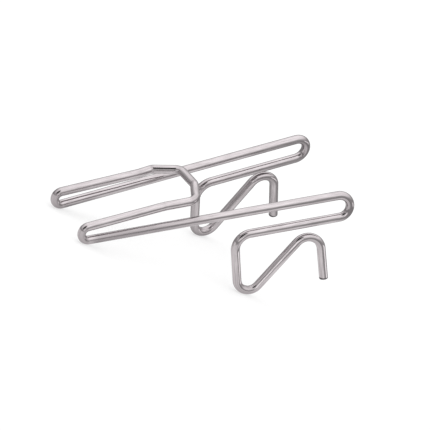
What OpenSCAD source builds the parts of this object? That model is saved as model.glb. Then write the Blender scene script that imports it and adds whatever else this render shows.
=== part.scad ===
// Cornice clip: one length of round spring wire, bent into two legs that a central
// tongue joins. From the crossbar of the tongue each half runs round the nose, back
// along a side, round a tight heel, up a rail, round a wide end bend and back into a
// hook with a free tip. The nose is bent askew, and the left hook is a little further
// closed and its tip a little longer than on the right. The clip lies on its two heels
// and its two toes, with the rails rising towards +X.

/* [Wire] */
// Diameter of the spring wire
wire_d = 2.65; // [1.2:0.05:3]
// Width of the broken edge round each cut end
tip_chamfer = 0.25; // [0.1:0.05:0.4]

/* [Stance] */
// Distance between the two heels, wire centre to wire centre
heel_gap = 21.5; // [18:0.1:30]
// Angle at which each rail runs outward from the middle plane
splay_angle = 4.5; // [0:0.1:8]
// Angle at which each leg's plane leans outward below its rail
lean_angle = 7; // [0:0.1:12]

/* [Nose of the tongue] */
// Distance from the middle of the crossbar back to the start of each side
nose_depth = 12.9; // [11.5:0.1:20]
// Angle at which the crossbar runs forward on the right
nose_slant = 4.2; // [0:0.1:8]
// Angle of a nose corner, midway between its right and its left one
nose_corner_angle = 41; // [34:0.5:46]
// Angle by which the left nose corner turns more, and the right one less
nose_skew = 17.8; // [0:0.1:20]
// Centreline radius of the two nose corners
nose_r = 3.4; // [3:0.1:4]
// Straight length from a nose corner to its shoulder
slant_l = 5.7; // [4:0.1:7]
// Centreline radius of a shoulder
shoulder_r = 2.8; // [2.5:0.1:4]
// Angle at which the tongue narrows behind its shoulders
flare_angle = 6; // [3:0.5:9]

/* [Sides of the tongue] */
// Centreline radius of the bend that ends the narrowing
waist_r = 12; // [8:0.5:14]
// Straight length of each side of the tongue
side_l = 23.5; // [16:0.1:26]
// Angle at which each side runs outward to its heel
side_taper = 1.4; // [0:0.1:3]
// Angle at which the tongue rises from the plane of the rails
rise_angle = 1.7; // [0:0.1:4]

/* [Heel, rail and end bend] */
// Centreline radius of the tight bend at the heel
heel_r = 2.2; // [1.9:0.05:3]
// Straight length of each rail
rail_l = 76.2; // [65:0.1:100]
// Centreline radius of the wide bend at the end of a rail
end_r = 3.5; // [3.2:0.1:5]
// Angle through which the end bend turns the wire
end_angle = 179.7; // [176:0.1:184]
// Straight length of the run that comes back under the rail
lower_l = 27.2; // [20:0.2:32]

/* [Hook] */
// Centreline radius of the corner into the hook
corner_r = 4.9; // [4.5:0.1:7]
// Angle of the corner
corner_angle = 89.8; // [86:0.1:91]
// Straight length down to the toe
shank_l = 9.4; // [9:0.1:14]
// Centreline radius of the toe
toe_r = 3.7; // [3.2:0.1:5]
// Angle of the right toe
toe_angle = 132.2; // [126:0.1:133]
// Straight length of the ramp
ramp_l = 17.1; // [12:0.1:17.5]
// Centreline radius of the hump
hump_r = 4.3; // [3:0.1:5.5]
// Angle of the right hump
hump_angle = 131; // [120:0.5:136]
// Angle by which the left toe and hump are bent further than the right ones
hook_skew = 4; // [0:0.5:4]
// Straight length of the right free tip, cut end included
tip_l = 9.9; // [5:0.1:14]
// Length by which the left tip is the longer one
tip_skew = 1.7; // [0:0.1:3]

/* [Hidden] */
$fn = 64;

// The two halves: the right one, on the -Y side, and the left one, which is drawn on that
// side as well and then mirrored
RIGHT = 1;
LEFT = -1;

// The wire is drawn at this share of its size and enlarged afterwards. Each piece stands in
// the frame of the one before it, and the rounding of those frames then stays far too small
// to part one end face from the next.
drawn = 0.01;

// Bend list of one half, from the middle of the crossbar to the tip:
// [name, straight before the bend, turn of the bend plane about the wire, radius, angle]
function corner_turn(hand) = nose_corner_angle - hand * nose_skew;
function hook_turn(hand) = hand == LEFT ? hook_skew : 0;
function tip_length(hand) = tip_l + (hand == LEFT ? tip_skew : 0);
function steps(hand, cross_l, flare_l) = [
    ["nose corner", cross_l, 0, nose_r, corner_turn(hand)],
    ["shoulder", slant_l, 0, shoulder_r, 90 + hand * nose_slant + flare_angle - corner_turn(hand)],
    ["waist", flare_l, 180, waist_r, flare_angle + side_taper],
    ["inner heel", side_l, -90, heel_r, 90 - rise_angle],
    ["outer heel", 0, splay_angle + side_taper, heel_r, 90],
    ["end bend", rail_l, 180 - lean_angle, end_r, end_angle],
    ["corner", lower_l, 180, corner_r, corner_angle],
    ["toe", shank_l, 0, toe_r, toe_angle + hook_turn(hand)],
    ["hump", ramp_l, 180, hump_r, hump_angle + hook_turn(hand)]
];
// Place of a bend in the list
names = [for (step = steps(RIGHT, 0, 0)) step[0]];
function place(name) = [for (i = [0 : len(names) - 1]) if (names[i] == name) i][0];

// A station is a frame whose Z runs along the wire and whose X faces the inside of the next bend
function moved(x, y, z) = [[1, 0, 0, x], [0, 1, 0, y], [0, 0, 1, z], [0, 0, 0, 1]];
function about_x(a) = [[1, 0, 0, 0], [0, cos(a), -sin(a), 0], [0, sin(a), cos(a), 0], [0, 0, 0, 1]];
function about_y(a) = [[cos(a), 0, sin(a), 0], [0, 1, 0, 0], [-sin(a), 0, cos(a), 0], [0, 0, 0, 1]];
function about_z(a) = [[cos(a), -sin(a), 0, 0], [sin(a), cos(a), 0, 0], [0, 0, 1, 0], [0, 0, 0, 1]];
function bend_start(station, step) = station * moved(0, 0, step[1]) * about_z(step[2]);
function bend_end(station, step) =
    bend_start(station, step) * moved(step[3], 0, 0) * about_y(step[4]) * moved(-step[3], 0, 0);
function first(hand) = about_y(180 - rise_angle) * about_x(90) * about_y(-hand * nose_slant);
function station(hand, list, i) =
    i == 0 ? first(hand) : bend_end(station(hand, list, i - 1), list[i - 1]);

// Two lengths close the tongue: half of the crossbar, and the narrowing part of the side.
// Together they bring the start of the side to nose_depth behind the crossbar's middle,
// and the start of the rail out to half the distance between the heels.
function missing(hand) =
    let (
        bare = steps(hand, 0, 0),
        side = station(hand, bare, place("inner heel")),
        rail = station(hand, bare, place("end bend"))
    )
    [-nose_depth - side[0][3] * cos(rise_angle) - side[2][3] * sin(rise_angle), -heel_gap / 2 - rail[1][3]];
// The crossbar runs forward by sin(nose_slant) and outward by cos(nose_slant) on the right
function closing(hand) =
    let (
        m = missing(hand),
        forward = hand * sin(nose_slant),
        outward = -cos(nose_slant),
        rearward = -cos(flare_angle),
        inward = sin(flare_angle),
        share = forward * inward - rearward * outward
    )
    [(m[0] * inward - rearward * m[1]) / share, (forward * m[1] - m[0] * outward) / share];
function whole(hand) = steps(hand, closing(hand)[0], closing(hand)[1]);
right_list = whole(RIGHT);
left_list = whole(LEFT);

// The ring that a bend of the right half is part of: its centre, and the unit normal of its
// plane. Both halves have the same rings from the heel to the toe.
function ring(i) = bend_start(station(RIGHT, right_list, i), right_list[i]) * moved(right_list[i][3], 0, 0);
function centre(i) = [for (row = [0 : 2]) ring(i)[row][3]];
function normal(i) = [for (row = [0 : 2]) ring(i)[row][1]];
// How far the centreline of a bend reaches beyond its ring's centre in the unit direction d
function swell(i, d) = right_list[i][3] * norm(cross(normal(i), d));
function reach(i, d) = centre(i) * d + swell(i, d);

// Pitch at which the heels and the toes touch one flat surface. It levels the line between
// the centres of both rings, and then allows for how far each ring reaches below it, in
// rounds that settle within a few.
PITCH_ROUNDS = 4;
heel = place("outer heel");
toe = place("toe");
function down(p) = [-sin(p), 0, -cos(p)];
function forward(p) = [cos(p), 0, -sin(p)];
between = centre(toe) - centre(heel);
span = norm([between[0], between[2]]);
level = -atan2(between[2], between[0]);
function pitch(p, rounds) = rounds > 0
    ? pitch(level + asin((swell(toe, down(p)) - swell(heel, down(p))) / span), rounds - 1)
    : p;
rest_pitch = pitch(level, PITCH_ROUNDS);

// How far a half's free tip reaches in the unit direction d, at either edge of its broken rim
function tip_reach(hand, list, d) =
    let (
        frame = station(hand, list, len(list)),
        heading = [for (row = [0 : 2]) frame[row][2]],
        start = [for (row = [0 : 2]) frame[row][3]],
        across = norm(cross(heading, d))
    )
    start * d + max(
        (tip_length(hand) - tip_chamfer) * heading * d + wire_d / 2 * across,
        tip_length(hand) * heading * d + (wire_d / 2 - tip_chamfer) * across
    );

// The surface that the clip lies on is Z = 0, and X = 0 is halfway between its furthest points
lift = reach(toe, down(rest_pitch)) + wire_d / 2;
front = max(
    reach(place("end bend"), forward(rest_pitch)) + wire_d / 2,
    tip_reach(RIGHT, right_list, forward(rest_pitch)),
    tip_reach(LEFT, left_list, forward(rest_pitch))
);
back = reach(heel, -forward(rest_pitch)) + wire_d / 2;
middle = (front - back) / 2;

// Each piece of wire carries the next one on its far end
module straight(length) {
    if (length > 0) cylinder(h = length * drawn, d = wire_d * drawn);
    translate([0, 0, length * drawn]) children();
}

module bend(r, a) {
    translate([r * drawn, 0, 0]) {
        rotate([90, 0, 180])
            rotate_extrude(angle = a)
                translate([r * drawn, 0])
                    circle(d = wire_d * drawn);
        rotate([0, a, 0])
            translate([-r * drawn, 0, 0])
                children();
    }
}

// Free end of that length: straight, cut square, with its edge broken
module tip(length) {
    straight(length - tip_chamfer)
        cylinder(
            h = tip_chamfer * drawn,
            d1 = wire_d * drawn,
            d2 = (wire_d - 2 * tip_chamfer) * drawn
        );
}

// The wire from the bend at place i of a list on to its tip
module wire(list, i, free_l) {
    straight(list[i][1])
        rotate([0, 0, list[i][2]])
            bend(list[i][3], list[i][4])
                if (i + 1 < len(list)) wire(list, i + 1, free_l); else tip(free_l);
}

// One leg and its half of the tongue, with the rail level
module half_clip(hand, list) {
    scale(1 / drawn)
        rotate([90, 180 - rise_angle, 0])
            rotate([0, -hand * nose_slant, 0])
                wire(list, 0, tip_length(hand));
}

module clip_wire() {
    color("silver")
        translate([-middle, 0, lift])
            rotate([0, -rest_pitch, 0]) {
                half_clip(RIGHT, right_list);
                mirror([0, 1, 0]) half_clip(LEFT, left_list);
            }
}

clip_wire();
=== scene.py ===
# A cornice clip: one length of bright spring wire, bent into two legs and the tongue that
# joins them, lying on its two heels and its two toes.
import math
from collections import namedtuple

import bpy
from mathutils import Matrix, Vector

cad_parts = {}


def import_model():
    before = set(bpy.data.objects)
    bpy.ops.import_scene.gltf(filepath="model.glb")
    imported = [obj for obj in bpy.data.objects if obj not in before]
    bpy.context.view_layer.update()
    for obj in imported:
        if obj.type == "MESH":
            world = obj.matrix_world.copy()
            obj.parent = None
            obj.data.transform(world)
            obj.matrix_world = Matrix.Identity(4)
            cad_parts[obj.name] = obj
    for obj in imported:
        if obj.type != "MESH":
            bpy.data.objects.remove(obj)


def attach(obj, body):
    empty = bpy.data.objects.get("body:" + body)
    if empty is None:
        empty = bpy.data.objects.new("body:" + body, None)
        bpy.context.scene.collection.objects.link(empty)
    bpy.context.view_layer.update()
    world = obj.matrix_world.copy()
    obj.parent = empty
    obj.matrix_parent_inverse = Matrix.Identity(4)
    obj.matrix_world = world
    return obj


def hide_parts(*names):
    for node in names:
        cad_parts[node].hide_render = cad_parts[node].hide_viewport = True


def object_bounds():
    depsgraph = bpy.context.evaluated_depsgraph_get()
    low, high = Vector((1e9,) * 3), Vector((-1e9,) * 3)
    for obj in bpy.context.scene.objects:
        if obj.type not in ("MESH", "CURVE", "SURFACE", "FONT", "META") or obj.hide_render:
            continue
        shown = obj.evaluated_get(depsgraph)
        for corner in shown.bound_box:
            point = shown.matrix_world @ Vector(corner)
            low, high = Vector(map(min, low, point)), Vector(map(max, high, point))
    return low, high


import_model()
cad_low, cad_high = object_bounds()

# The course of the wire
# Hard-drawn spring steel, 2.65 mm thick, bent cold round pins of a few millimetres and then
# bright plated. Each half is a list of bends from the middle of the crossbar to the tip. Both
# are drawn on the right, and the left one is mirrored in the mesh. Angles are in degrees.
MM = 0.001
WIRE_R = 1.325 * MM
RIGHT, LEFT = 1, -1
CROSSBAR_SLANT = 4.2
NOSE_CORNER, NOSE_SKEW = 41, 17.8
NARROWING = 6
SIDE_TAPER = 1.4
TONGUE_RISE = 1.7
NOSE_DEPTH = 12.9 * MM
HEEL_GAP = 21.5 * MM
HEEL_R = 2.2 * MM
RAIL_SPLAY = 4.5
LEG_LEAN = 7
HOOK_SKEW = 4
TIP = {RIGHT: 9.9 * MM, LEFT: 11.6 * MM}


def bends(hand, crossbar, narrowing_run):
    """Name of each bend, straight before it, turn of its plane about the wire, radius, angle.
    The tip is a last straight with no bend after it."""
    corner = NOSE_CORNER - NOSE_SKEW * hand
    closed_more = HOOK_SKEW if hand == LEFT else 0
    return [
        ("nose corner", crossbar, 0, 3.4 * MM, corner),
        ("shoulder", 5.7 * MM, 0, 2.8 * MM, 90 + CROSSBAR_SLANT * hand + NARROWING - corner),
        ("waist", narrowing_run, 180, 12 * MM, NARROWING + SIDE_TAPER),
        ("inner heel", 23.5 * MM, -90, HEEL_R, 90 - TONGUE_RISE),
        ("outer heel", 0, RAIL_SPLAY + SIDE_TAPER, HEEL_R, 90),
        ("end bend", 76.2 * MM, 180 - LEG_LEAN, 3.5 * MM, 179.7),
        ("corner", 27.2 * MM, 180, 4.9 * MM, 89.8),
        ("toe", 9.4 * MM, 0, 3.7 * MM, 132.2 + closed_more),
        ("hump", 17.1 * MM, 180, 4.3 * MM, 131 + closed_more),
        ("tip", TIP[hand], 0, 0, 0),
    ]


def turn(degrees, axis):
    """A turn about one axis of a frame."""
    return Matrix.Rotation(math.radians(degrees), 4, axis)


def swept(radius, degrees):
    """Where a bend of that radius has taken the wire after so many degrees."""
    out = Matrix.Translation((radius, 0, 0))
    return out @ turn(degrees, "Y") @ Matrix.Translation((-radius, 0, 0))


def before(bend, hand, crossbar, narrowing_run):
    """The frame at the start of the straight before a bend. Z runs along the wire, and X faces
    the inside of the last bend."""
    at = turn(180 - TONGUE_RISE, "Y") @ turn(90, "X") @ turn(-hand * CROSSBAR_SLANT, "Y")
    for name, straight, plane, radius, angle in bends(hand, crossbar, narrowing_run):
        if name == bend:
            break
        at = at @ Matrix.Translation((0, 0, straight)) @ turn(plane, "Z") @ swept(radius, angle)
    return at


def closing(hand):
    """Half of the crossbar, and the run that narrows the tongue: together they bring the side
    to its place behind the crossbar, and the rail to half the distance between the heels."""
    rise, slant, narrow = (math.radians(v) for v in (TONGUE_RISE, CROSSBAR_SLANT, NARROWING))
    side = before("inner heel", hand, 0, 0).translation
    rail = before("end bend", hand, 0, 0).translation
    missing = Vector((
        -NOSE_DEPTH - side.x * math.cos(rise) - side.z * math.sin(rise),
        -HEEL_GAP / 2 - rail.y,
    ))
    per_length = Matrix((
        (hand * math.sin(slant), -math.cos(narrow)),
        (-math.cos(slant), math.sin(narrow)),
    ))
    return per_length.inverted() @ missing


# Stations along the wire
# At a bend the pin squeezes the round wire a little thinner in the plane of the bend, and
# presses a narrow flat along the inside. Both bends of a heel go round one pin, so the flat
# runs on from the first to the second.
STRAIGHT_STEP, BEND_STEP = 3 * MM, 3
# The share of its thickness that a bend as tight as the wire's own radius would take off
SQUEEZE = 0.11
# How many times as deep the flat lies, and the share of a bend over which both come and go
FLAT_DEPTH = 2.2
FADE = 0.32
STEEPEST_PITCH, PITCH_ERROR = 60, 1e-6
# at is the frame, done and turned are the wire's length and its turn so far, squeeze is how
# much thinner it is there, and bend is the name of the bend
Station = namedtuple("Station", "at done turned squeeze bend")


def smooth(x):
    """Rises from 0 to 1, level at both ends."""
    x = min(max(x, 0), 1)
    return x * x * (3 - 2 * x)


def half_route(hand):
    """Stations of one half, from the middle of the crossbar to the tip."""
    at, done, turned = before("nose corner", hand, 0, 0), 0, 0
    route = [Station(at, done, turned, 0, None)]
    for name, straight, plane, radius, angle in bends(hand, *closing(hand)):
        steps = math.ceil(straight / STRAIGHT_STEP)
        for i in range(1, steps + 1):
            run = straight * i / steps
            here = at @ Matrix.Translation((0, 0, run))
            route.append(Station(here, done + run, turned, 0, None))
        at = at @ Matrix.Translation((0, 0, straight)) @ turn(plane, "Z")
        done += straight
        turned += plane
        steps = math.ceil(angle / BEND_STEP)
        for i in range(1, steps + 1):
            share = i / steps
            fade = 1 if name == "outer heel" else smooth(share / FADE)
            fade *= 1 if name == "inner heel" else smooth((1 - share) / FADE)
            squeeze = SQUEEZE * WIRE_R / radius * fade
            here = at @ swept(radius, angle * share)
            along = done + radius * math.radians(angle) * share
            route.append(Station(here, along, turned, squeeze, name))
        at = at @ swept(radius, angle)
        done += radius * math.radians(angle)
    return route


def resting(route):
    """The turn about Y that brings the lowest point of heel and toe to one level."""
    heel = [s.at.translation for s in route if s.bend == "outer heel"]
    toe = [s.at.translation for s in route if s.bend == "toe"]
    low, high = 0, STEEPEST_PITCH
    while high - low > PITCH_ERROR:
        pitch = (low + high) / 2
        lean = turn(-pitch, "Y")
        if min((lean @ p).z for p in toe) > min((lean @ p).z for p in heel):
            high = pitch
        else:
            low = pitch
    return turn(-low, "Y")


lying = resting(half_route(RIGHT))
routes = {}
for hand in (RIGHT, LEFT):
    routes[hand] = [s._replace(at=lying @ s.at) for s in half_route(hand)]

# The surface of the wire and its free ends
# The wire is sheared off after plating, so its end is a slightly tilted bare face with a
# rounded rim. The blade has dragged over the wire above the rim and darkened it, furthest on
# the side that it came from.
SIDES = 48
RIM, RIM_RINGS = 0.25 * MM, 5
# The rings on the end face, as shares of its radius
FACE_RINGS = (0.8, 0.55, 0.3, 0.12)
TILT = 0.05 * MM
DRAG_LEAST, DRAG_MOST = 0.05 * MM, 0.5 * MM
# Where round the wire the blade came from
BLADE_SIDE = 250
# The rings of an end that show sheared steel
CUT_RINGS = len(FACE_RINGS) + RIM_RINGS + 1


def side_point(station, k):
    """Point k round the wire at a station, and its place while the wire was still straight."""
    around = 2 * math.pi * k / SIDES
    inside = around - math.radians(station.turned)
    x = WIRE_R * (1 - station.squeeze) * math.cos(inside)
    y = WIRE_R * (1 + station.squeeze / 2) * math.sin(inside)
    x = min(x, WIRE_R * (1 - FLAT_DEPTH * station.squeeze))
    unbent = Vector((station.done, WIRE_R * math.cos(around), WIRE_R * math.sin(around)))
    return station.at @ Vector((x, y, 0)), unbent


def end_point(end, inset, drop, k):
    """Point k of the rim or of the sheared face, inset from the wire's side and dropped back
    from its end, and its place while the wire was still straight."""
    around = 2 * math.pi * k / SIDES
    inside = around - math.radians(end.turned)
    r = WIRE_R - inset
    back = drop + TILT * (1 + math.cos(around)) / 2 * (1 - inset / WIRE_R)
    unbent = Vector((end.done - back, r * math.cos(around), r * math.sin(around)))
    return end.at @ Vector((r * math.cos(inside), r * math.sin(inside), -back)), unbent


def drag(k):
    """How far above the rim the blade has darkened the wire, at point k round it."""
    from_blade = 2 * math.pi * k / SIDES - math.radians(BLADE_SIDE)
    return DRAG_LEAST + (DRAG_MOST - DRAG_LEAST) * (1 + math.cos(from_blade)) / 2


def half_rings(route):
    """The rings of one half, and the squeeze of each, out to the middle of the end face."""
    end = route[-1]
    wall = [s for s in route if s.done < end.done - RIM - DRAG_MOST]
    rings = [[side_point(s, k) for k in range(SIDES)] for s in wall]
    rings.append([end_point(end, 0, RIM + drag(k), k) for k in range(SIDES)])
    for i in range(RIM_RINGS + 1):
        angle = math.pi / 2 * i / RIM_RINGS
        inset, drop = RIM * (1 - math.cos(angle)), RIM * (1 - math.sin(angle))
        rings.append([end_point(end, inset, drop, k) for k in range(SIDES)])
    for share in FACE_RINGS:
        inset = WIRE_R - (WIRE_R - RIM) * share
        rings.append([end_point(end, inset, 0, k) for k in range(SIDES)])
    return rings, [s.squeeze for s in wall] + [0] * (len(rings) - len(wall))


# The wire's mesh
# One closed tube from the right end face to the left one. Each point keeps how sharply it is
# bent, and its place in the straight wire, where the right half has negative lengths.
points, drawn, bent, faces, cut = [], [], [], [], []
for hand in (RIGHT, LEFT):
    rings, squeezes = half_rings(routes[hand])
    order = range(len(rings) - 1, 0, -1) if hand == RIGHT else range(len(rings))
    for i in order:
        for p, q in rings[i]:
            points.append(Vector((p.x, p.y * hand, p.z)))
            drawn.append(Vector((-q.x * hand, q.y, q.z)))
            bent.append(squeezes[i] / SQUEEZE)
total = len(points) // SIDES
# So far the middle of the crossbar is the origin. The tube now goes down on the table, and
# midway between the ends of the solid wire's box.
shift = Vector((
    (cad_low.x + cad_high.x - min(p.x for p in points) - max(p.x for p in points)) / 2,
    0,
    cad_low.z - min(p.z for p in points),
))
points = [p + shift for p in points]
for i in range(total - 1):
    for k in range(SIDES):
        j = (k + 1) % SIDES
        faces.append((i * SIDES + k, (i + 1) * SIDES + k, (i + 1) * SIDES + j, i * SIDES + j))
        cut.append(min(i, total - 2 - i) < CUT_RINGS)
for i, left_end in ((0, False), (total - 1, True)):
    points.append(sum((points[i * SIDES + k] for k in range(SIDES)), Vector()) / SIDES)
    drawn.append(sum((drawn[i * SIDES + k] for k in range(SIDES)), Vector()) / SIDES)
    bent.append(0)
    middle = len(points) - 1
    for k in range(SIDES):
        a, b = i * SIDES + k, i * SIDES + (k + 1) % SIDES
        faces.append((b, a, middle) if left_end else (a, b, middle))
        cut.append(True)

mesh = bpy.data.meshes.new("clip_wire_formed")
mesh.from_pydata(points, [], faces)
mesh.validate()
mesh.polygons.foreach_set("use_smooth", [True] * len(mesh.polygons))
mesh.polygons.foreach_set("material_index", [int(c) for c in cut])
place = mesh.attributes.new("drawn", "FLOAT_VECTOR", "POINT")
place.data.foreach_set("vector", [c for v in drawn for c in v])
amount = mesh.attributes.new("bent", "FLOAT", "POINT")
amount.data.foreach_set("value", bent)
wire = bpy.data.objects.new("clip_wire_formed", mesh)
bpy.context.scene.collection.objects.link(wire)
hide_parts("clip_wire")
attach(wire, "root")


def linear(hex_colour):
    """An sRGB hex colour as the linear colour that a shader takes."""
    def channel(i):
        c = int(hex_colour[i:i + 2], 16) / 255
        return c / 12.92 if c <= 0.04045 else ((c + 0.055) / 1.055) ** 2.4
    return (channel(1), channel(3), channel(5), 1)


def add(tree, kind, settings=None, inputs=None):
    """A node with its settings. An input that is a socket is linked, and any other is set."""
    made = tree.nodes.new(kind)
    for name, value in (settings or {}).items():
        setattr(made, name, value)
    for name, value in (inputs or {}).items():
        if isinstance(value, bpy.types.NodeSocket):
            tree.links.new(value, made.inputs[name])
        else:
            made.inputs[name].default_value = value
    return made


def material(name):
    """A new material and its empty node tree."""
    made = bpy.data.materials.new(name)
    made.use_nodes = True
    made.node_tree.nodes.clear()
    return made, made.node_tree


# Bright plating over drawn steel
# A smooth metal with faint lines along it where the drawing die dragged, a soft unevenness
# and cloudy patches from the plating bath, and a duller, darker skin where a bend stretched it.
BRIGHT, CLOUDED = "#D0CACC", "#B9B2B4"
SCRATCHED, STRETCHED = "#8A8486", "#8E888A"
SMOOTHEST, ROUGHEST = 0.07, 0.15
# The real lines are a few hundredths of a millimetre apart, and are drawn coarser to show
DIE_LINE, DIE_REACH, DIE_DEPTH = 0.3 * MM, 5 * MM, 0.006 * MM
DIE_DARKENS = 0.5
PEEL, PEEL_DEPTH = 0.9 * MM, 0.02 * MM
CLOUD_LENGTH = 7 * MM
CLOUD_WIDTH = CLOUD_LENGTH / 3
BEND_DARKENS, BEND_ROUGHENS = 0.9, 0.05
plated, tree = material("bright_plated_spring_steel")
straightened = add(tree, "ShaderNodeAttribute", {"attribute_name": "drawn"}).outputs["Vector"]
bend_amount = add(tree, "ShaderNodeAttribute", {"attribute_name": "bent"}).outputs["Fac"]
lengthwise = add(tree, "ShaderNodeMapping", {}, {
    "Vector": straightened, "Scale": (1 / DIE_REACH, 1 / DIE_LINE, 1 / DIE_LINE),
})
die_lines = add(tree, "ShaderNodeTexNoise", {}, {
    "Vector": lengthwise.outputs["Vector"], "Scale": 1, "Detail": 2, "Roughness": 0.6,
})
peel = add(tree, "ShaderNodeTexNoise", {}, {
    "Vector": straightened, "Scale": 1 / PEEL, "Detail": 1,
})
cloud_place = add(tree, "ShaderNodeMapping", {}, {
    "Vector": straightened, "Scale": (1 / CLOUD_LENGTH, 1 / CLOUD_WIDTH, 1 / CLOUD_WIDTH),
})
clouds = add(tree, "ShaderNodeTexNoise", {}, {
    "Vector": cloud_place.outputs["Vector"], "Scale": 1, "Detail": 3, "Roughness": 0.55,
})
tint = add(tree, "ShaderNodeMix", {"data_type": "RGBA"}, {
    "Factor": clouds.outputs["Fac"], "A": linear(BRIGHT), "B": linear(CLOUDED),
})
lined = add(tree, "ShaderNodeMapRange", {}, {
    "Value": die_lines.outputs["Fac"], "From Min": 0.4, "From Max": 0.7,
    "To Min": 0, "To Max": DIE_DARKENS,
})
dragged = add(tree, "ShaderNodeMix", {"data_type": "RGBA"}, {
    "Factor": lined.outputs[0], "A": tint.outputs["Result"], "B": linear(SCRATCHED),
})
stretched = add(tree, "ShaderNodeMath", {"operation": "MULTIPLY"}, {
    0: bend_amount, 1: BEND_DARKENS,
})
colour = add(tree, "ShaderNodeMix", {"data_type": "RGBA"}, {
    "Factor": stretched.outputs[0], "A": dragged.outputs["Result"], "B": linear(STRETCHED),
})
rough = add(tree, "ShaderNodeMapRange", {}, {
    "Value": die_lines.outputs["Fac"], "From Min": 0.3, "From Max": 0.7,
    "To Min": SMOOTHEST, "To Max": ROUGHEST,
})
rougher = add(tree, "ShaderNodeMath", {"operation": "MULTIPLY_ADD"}, {
    0: bend_amount, 1: BEND_ROUGHENS, 2: rough.outputs[0],
})
lines_bump = add(tree, "ShaderNodeBump", {}, {
    "Strength": 0.35, "Distance": DIE_DEPTH, "Height": die_lines.outputs["Fac"],
})
peel_bump = add(tree, "ShaderNodeBump", {}, {
    "Strength": 0.5, "Distance": PEEL_DEPTH, "Height": peel.outputs["Fac"],
    "Normal": lines_bump.outputs["Normal"],
})

# The right rail is darker and rougher next to its heel, fully so a short way past the heel
# and then less and less further along.
HEEL_END = max(s.done for s in routes[RIGHT] if s.bend == "outer heel")
DARK_EDGE, DARK_FULL, DARK_END = 3 * MM, 14 * MM, 46 * MM
RAIL_DARKENS, RAIL_ROUGHENS = 0.6, 0.12
wire_length = add(tree, "ShaderNodeSeparateXYZ", {}, {0: straightened}).outputs["X"]
past_heel = add(tree, "ShaderNodeMapRange", {"interpolation_type": "SMOOTHSTEP"}, {
    "Value": wire_length, "From Min": -HEEL_END, "From Max": -HEEL_END - DARK_EDGE,
    "To Min": 0, "To Max": 1,
})
before_end = add(tree, "ShaderNodeMapRange", {"interpolation_type": "SMOOTHSTEP"}, {
    "Value": wire_length, "From Min": -HEEL_END - DARK_FULL, "From Max": -HEEL_END - DARK_END,
    "To Min": 1, "To Max": 0,
})
near_heel = add(tree, "ShaderNodeMath", {"operation": "MULTIPLY"}, {
    0: past_heel.outputs[0], 1: before_end.outputs[0],
})
heel_darkening = add(tree, "ShaderNodeMath", {"operation": "MULTIPLY"}, {
    0: near_heel.outputs[0], 1: RAIL_DARKENS,
})
heel_darkened_colour = add(tree, "ShaderNodeMix", {"data_type": "RGBA"}, {
    "Factor": heel_darkening.outputs[0], "A": colour.outputs["Result"], "B": linear(SCRATCHED),
})
heel_roughness = add(tree, "ShaderNodeMath", {"operation": "MULTIPLY_ADD"}, {
    0: near_heel.outputs[0], 1: RAIL_ROUGHENS, 2: rougher.outputs[0],
})
shine = add(tree, "ShaderNodeBsdfPrincipled", {}, {
    "Base Color": heel_darkened_colour.outputs["Result"], "Metallic": 1,
    "Roughness": heel_roughness.outputs[0], "Normal": peel_bump.outputs["Normal"],
})
add(tree, "ShaderNodeOutputMaterial", {}, {"Surface": shine.outputs["BSDF"]})
mesh.materials.append(plated)

# Sheared spring steel
# The end faces, their rims and the marks of the blade: bare, darker and matt, with ridges
# across them where the blade tore through.
# The real ridges are a few hundredths of a millimetre apart, and are drawn coarser to show
RIDGE, RIDGE_DEPTH = 0.88 * MM, 0.02 * MM
# The wave texture repeats after this share of its own unit
WAVE_REPEAT = 2 * math.pi / 20
HOLLOW, CREST = "#565254", "#7A7678"
MATT = 0.42
sheared, tree = material("sheared_spring_steel")
end_place = add(tree, "ShaderNodeAttribute", {"attribute_name": "drawn"}).outputs["Vector"]
ridges = add(tree, "ShaderNodeTexWave", {"bands_direction": "Y"}, {
    "Vector": end_place, "Scale": WAVE_REPEAT / RIDGE, "Distortion": 2, "Detail": 2,
})
end_colour = add(tree, "ShaderNodeMix", {"data_type": "RGBA"}, {
    "Factor": ridges.outputs["Fac"], "A": linear(HOLLOW), "B": linear(CREST),
})
end_bump = add(tree, "ShaderNodeBump", {}, {
    "Strength": 0.5, "Distance": RIDGE_DEPTH, "Height": ridges.outputs["Fac"],
})
bare = add(tree, "ShaderNodeBsdfPrincipled", {}, {
    "Base Color": end_colour.outputs["Result"], "Metallic": 1, "Roughness": MATT,
    "Normal": end_bump.outputs["Normal"],
})
add(tree, "ShaderNodeOutputMaterial", {}, {"Surface": bare.outputs["BSDF"]})
mesh.materials.append(sheared)

# The table
# Plain white, and wide enough to fill every view. What the camera sees of it is lifted to
# white, and the clip's shadow stays. In the metal it is lifted only in two patches, one in
# front of the hooks and one behind the heels, and the rest draws the dark band on the wire.
TABLE_REACH = 3
TABLE_GREY, WHITE = "#A2A2A2", "#FFFFFF"
CAMERA_LIFT = 0.64
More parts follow.
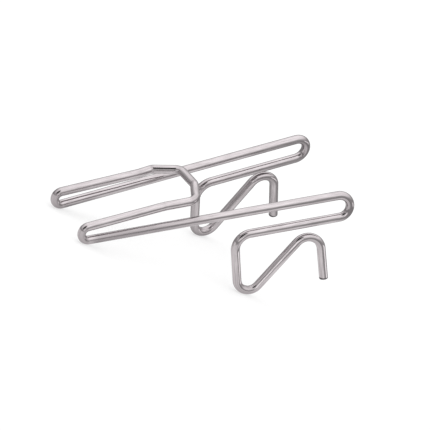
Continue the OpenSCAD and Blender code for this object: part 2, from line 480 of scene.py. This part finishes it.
# The middle of each patch, how far it is full, where it ends, and its lift
HOOK_PATCH = ((15 * MM, -40 * MM, 0), 40 * MM, 80 * MM, 0.62)
HEEL_PATCH = ((-80 * MM, -8 * MM, 0), 44 * MM, 55 * MM, 0.75)
table_mesh = bpy.data.meshes.new("table")
square = ((-1, -1), (1, -1), (1, 1), (-1, 1))
corners = [(x * TABLE_REACH, y * TABLE_REACH, 0) for x, y in square]
table_mesh.from_pydata(corners, [], [(0, 1, 2, 3)])
table = bpy.data.objects.new("table", table_mesh)
table.location.z = cad_low.z
bpy.context.scene.collection.objects.link(table)
paper, tree = material("white_table")
rays = add(tree, "ShaderNodeLightPath").outputs
position = add(tree, "ShaderNodeNewGeometry").outputs["Position"]
patches = []
for middle, full, end, patch_lift in (HOOK_PATCH, HEEL_PATCH):
    distance = add(tree, "ShaderNodeVectorMath", {"operation": "DISTANCE"}, {
        0: position, 1: middle,
    })
    patches.append(add(tree, "ShaderNodeMapRange", {"interpolation_type": "SMOOTHSTEP"}, {
        "Value": distance.outputs["Value"], "From Min": full, "From Max": end,
        "To Min": patch_lift, "To Max": 0,
    }).outputs[0])
brightest = add(tree, "ShaderNodeMath", {"operation": "MAXIMUM"}, {0: patches[0], 1: patches[1]})
in_metal = add(tree, "ShaderNodeMath", {"operation": "MULTIPLY"}, {
    0: rays["Is Glossy Ray"], 1: brightest.outputs[0],
})
lift = add(tree, "ShaderNodeMath", {"operation": "MULTIPLY_ADD"}, {
    0: rays["Is Camera Ray"], 1: CAMERA_LIFT, 2: in_metal.outputs[0],
})
lit = add(tree, "ShaderNodeBsdfDiffuse", {}, {"Color": linear(TABLE_GREY)})
glow = add(tree, "ShaderNodeEmission", {}, {"Color": linear(WHITE), "Strength": lift.outputs[0]})
both = add(tree, "ShaderNodeAddShader", {}, {0: lit.outputs[0], 1: glow.outputs[0]})
add(tree, "ShaderNodeOutputMaterial", {}, {"Surface": both.outputs[0]})
table_mesh.materials.append(paper)

# The light
# A white tent over a darker room, bright overhead and dimmer towards the horizon, less so on
# the side of the heels. The wire mirrors that as a light band above its middle and a dark one
# below. The camera itself sees white behind the table.
HORIZON, OVERHEAD = 0.48, 1.5
# Sines of the elevations between which it brightens, and how far that leans to the heels
TENT_FOOT, TENT_TOP = 0.1, 0.78
TENT_TILT = 0.18
# A dark gap in the tent, above the camera and to its left, shows as a dark spot in each bend.
# Its edge and its darkest part are cosines of the angle from its middle.
GAP = (-0.74, -0.39, 0.55)
GAP_EDGE, GAP_DARKEST = 0.9, 0.97
GAP_LIGHT = 0.05
world = bpy.data.worlds.new("studio")
bpy.context.scene.world = world
world.use_nodes = True
tree = world.node_tree
tree.nodes.clear()
direction = add(tree, "ShaderNodeTexCoord").outputs["Generated"]
height = add(tree, "ShaderNodeVectorMath", {"operation": "DOT_PRODUCT"}, {
    0: direction, 1: (-TENT_TILT, 0, 1),
})
tent = add(tree, "ShaderNodeMapRange", {"interpolation_type": "SMOOTHSTEP"}, {
    "Value": height.outputs["Value"], "From Min": TENT_FOOT, "From Max": TENT_TOP,
    "To Min": HORIZON, "To Max": OVERHEAD,
})
towards_gap = add(tree, "ShaderNodeVectorMath", {"operation": "DOT_PRODUCT"}, {
    0: direction, 1: GAP,
})
gap = add(tree, "ShaderNodeMapRange", {"interpolation_type": "SMOOTHSTEP"}, {
    "Value": towards_gap.outputs["Value"], "From Min": GAP_EDGE, "From Max": GAP_DARKEST,
    "To Min": 1, "To Max": GAP_LIGHT,
})
strength = add(tree, "ShaderNodeMath", {"operation": "MULTIPLY"}, {
    0: tent.outputs[0], 1: gap.outputs[0],
})
shown = add(tree, "ShaderNodeMath", {"operation": "MAXIMUM"}, {
    0: strength.outputs[0], 1: add(tree, "ShaderNodeLightPath").outputs["Is Camera Ray"],
})
room = add(tree, "ShaderNodeBackground", {}, {
    "Color": linear(WHITE), "Strength": shown.outputs[0],
})
add(tree, "ShaderNodeOutputWorld", {}, {"Surface": room.outputs[0]})

# The softboxes
# Two low rectangular lamps light the hooks, one beside the camera and one well to its right.
# Both face the middle of the clip on the table.
# The azimuth of each, counted from +X, and its width in metres
SOFTBOXES = ((-110, 0.95), (-22, 0.9))
SOFTBOX_HEIGHT = 0.36
SOFTBOX_DISTANCE = 1.5
SOFTBOX_SLOPE = 0.12
SOFTBOX_RADIANCE = 1.0
for azimuth, width in SOFTBOXES:
    data = bpy.data.lights.new("softbox", "AREA")
    data.shape = "RECTANGLE"
    data.size, data.size_y = width, SOFTBOX_HEIGHT
    data.energy = SOFTBOX_RADIANCE * math.pi * width * SOFTBOX_HEIGHT
    softbox = bpy.data.objects.new("softbox", data)
    outward = turn(azimuth, "Z") @ Vector((1, 0, SOFTBOX_SLOPE))
    softbox.location = outward * SOFTBOX_DISTANCE
    softbox.rotation_euler = (-softbox.location).to_track_quat("-Z", "Y").to_euler()
    bpy.context.scene.collection.objects.link(softbox)

# The camera
# It stands where the photograph was taken from. The view is parallel, as from far off, and
# tilted to one side. Its azimuth is counted from -Y.
CAMERA_AZIMUTH = -33.29
CAMERA_ELEVATION = 19.05
CAMERA_ROLL = 26.46
CAMERA_AIM = Vector((5.08, -3.69, 16.14)) * MM
PICTURE_WIDTH = 125.66 * MM
CAMERA_DISTANCE = 1.2
back = turn(CAMERA_AZIMUTH, "Z") @ turn(-CAMERA_ELEVATION, "X") @ Vector((0, -1, 0))
camera_data = bpy.data.cameras.new("camera")
camera_data.type = "ORTHO"
camera_data.ortho_scale = PICTURE_WIDTH
camera = bpy.data.objects.new("camera", camera_data)
camera.rotation_mode = "QUATERNION"
level_view = (-back).to_track_quat("-Z", "Y")
camera.rotation_quaternion = level_view @ turn(CAMERA_ROLL, "Z").to_quaternion()
camera.location = CAMERA_AIM + back * CAMERA_DISTANCE
bpy.context.scene.collection.objects.link(camera)
bpy.context.scene.camera = camera
bpy.context.scene.view_settings.view_transform = "Standard"
